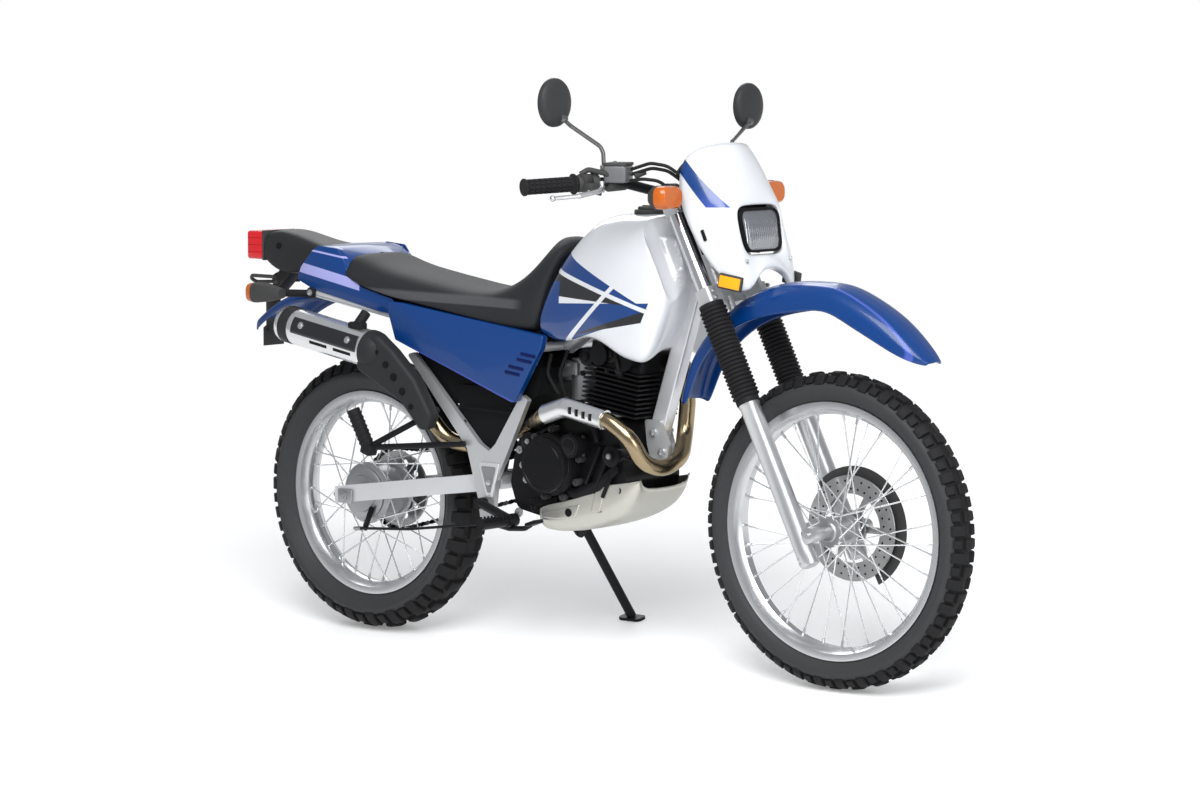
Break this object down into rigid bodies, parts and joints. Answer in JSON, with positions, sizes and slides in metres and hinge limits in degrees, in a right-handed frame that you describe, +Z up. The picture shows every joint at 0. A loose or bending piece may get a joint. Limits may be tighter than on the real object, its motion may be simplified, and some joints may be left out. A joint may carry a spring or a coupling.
{
  "type": "dual sport motorcycle",
  "caption": "A light road and trail motorcycle with spoked wheels, high fenders, long seat and side-exit exhaust, parked on its side stand, with steering, wheels and stand that move.",
  "frame": {"origin": "middle of the parked motorcycle's floor area, on the floor", "axes": "+X forward, +Y to the rider's left, the side that it leans to on its stand, +Z up"},
  "size_m": [2.0806, 0.8162, 1.3557],
  "materials": {
    "tyre_rubber": "matt moulded rubber",
    "rim_silver": "satin anodised",
    "hub_grey": "satin cast",
    "disc_steel": "ground",
    "black_plastic": "matt",
    "black_rubber": "matt",
    "fork_silver": "satin",
    "plated_steel": "bright",
    "lever_alloy": "satin",
    "cowl_white": "gloss",
    "lamp_clear": "clear",
    "blue_plastic": "gloss",
    "amber_lens": "clear moulded",
    "red_lens": "clear moulded",
    "engine_black": "satin black",
    "header_bronze": "heat tinted",
    "muffler_silver": "polished",
    "frame_silver": "satin",
    "cast_silver": "cast",
    "chain_steel": "dark",
    "skid_alloy": "satin",
    "tank_white": "gloss paint",
    "seat_vinyl": "grained vinyl",
    "black_steel": "satin",
    "axle_steel": "plain"
  },
  "bodies": {
    "chassis": {"engine_cases": "engine_black", "engine_top_end": "engine_black", "carburettor": "hub_grey", "airbox": "black_plastic", "shock_absorber": "black_steel", "exhaust_header": "header_bronze", "header_shield": "muffler_silver", "heat_shield": "black_steel", "muffler": "muffler_silver", "frame_backbone": "frame_silver", "frame_downtube": "frame_silver", "engine_mount": "cast_silver", "pivot_plates": "cast_silver", "seat_rails": "frame_silver", "swingarm": "frame_silver", "rear_axle": "axle_steel", "drive_chain": "chain_steel", "chain_guard": "black_plastic", "skid_plate": "skid_alloy", "fuel_tank": "tank_white", "fuel_cap": "black_plastic", "seat": "seat_vinyl", "side_covers": "blue_plastic", "tail_cowl": "blue_plastic", "rear_fender": "black_plastic", "tail_piece": "black_plastic", "tail_light": "red_lens", "rear_signals": "amber_lens", "plate_bracket": "black_plastic", "foot_pegs": "black_steel", "stand_bracket": "black_steel"},
    "steering": {"front_axle": "axle_steel", "fork_clamps": "cast_silver", "fork_tubes": "plated_steel", "fork_sliders": "fork_silver", "fork_gaiters": "black_rubber", "handlebar": "black_steel", "handle_grips": "black_rubber", "hand_controls": "lever_alloy", "mirrors": "black_plastic", "headlight_cowl": "cowl_white", "headlight": "lamp_clear", "lamp_stays": "black_steel", "instruments": "black_plastic", "front_fender": "blue_plastic", "front_signals": "amber_lens", "fork_reflectors": "amber_lens", "brake_caliper": "hub_grey", "disc_guard": "black_plastic"},
    "front_wheel": {"front_tyre": "tyre_rubber", "front_rim": "rim_silver", "front_hub": "hub_grey", "front_disc": "disc_steel"},
    "rear_wheel": {"rear_tyre": "tyre_rubber", "rear_rim": "rim_silver", "rear_hub": "hub_grey", "rear_sprocket": "chain_steel"},
    "side_stand": {"side_stand": "black_steel"}
  },
  "joints": [
    {"name": "steering", "type": "hinge", "parent": "chassis", "child": "steering", "pos_m": [0.29662, -0.01381, 0.9899], "axis": [-0.4462, 0.1554, 0.8813], "range_deg": [-40, 40]},
    {"name": "front_wheel_spin", "type": "hinge", "parent": "steering", "child": "front_wheel", "pos_m": [0.69568, -0.12828, 0.34072], "axis": [0, 0.9848, -0.1736], "continuous": true},
    {"name": "rear_wheel_spin", "type": "hinge", "parent": "chassis", "child": "rear_wheel", "pos_m": [-0.65432, -0.13176, 0.32102], "axis": [0, 0.9848, -0.1736], "continuous": true},
    {"name": "side_stand_fold", "type": "hinge", "parent": "chassis", "child": "side_stand", "pos_m": [-0.13432, -0.00181, 0.24023], "axis": [0, 0.9563, 0.2924], "range_deg": [0, 100]}
  ]
}
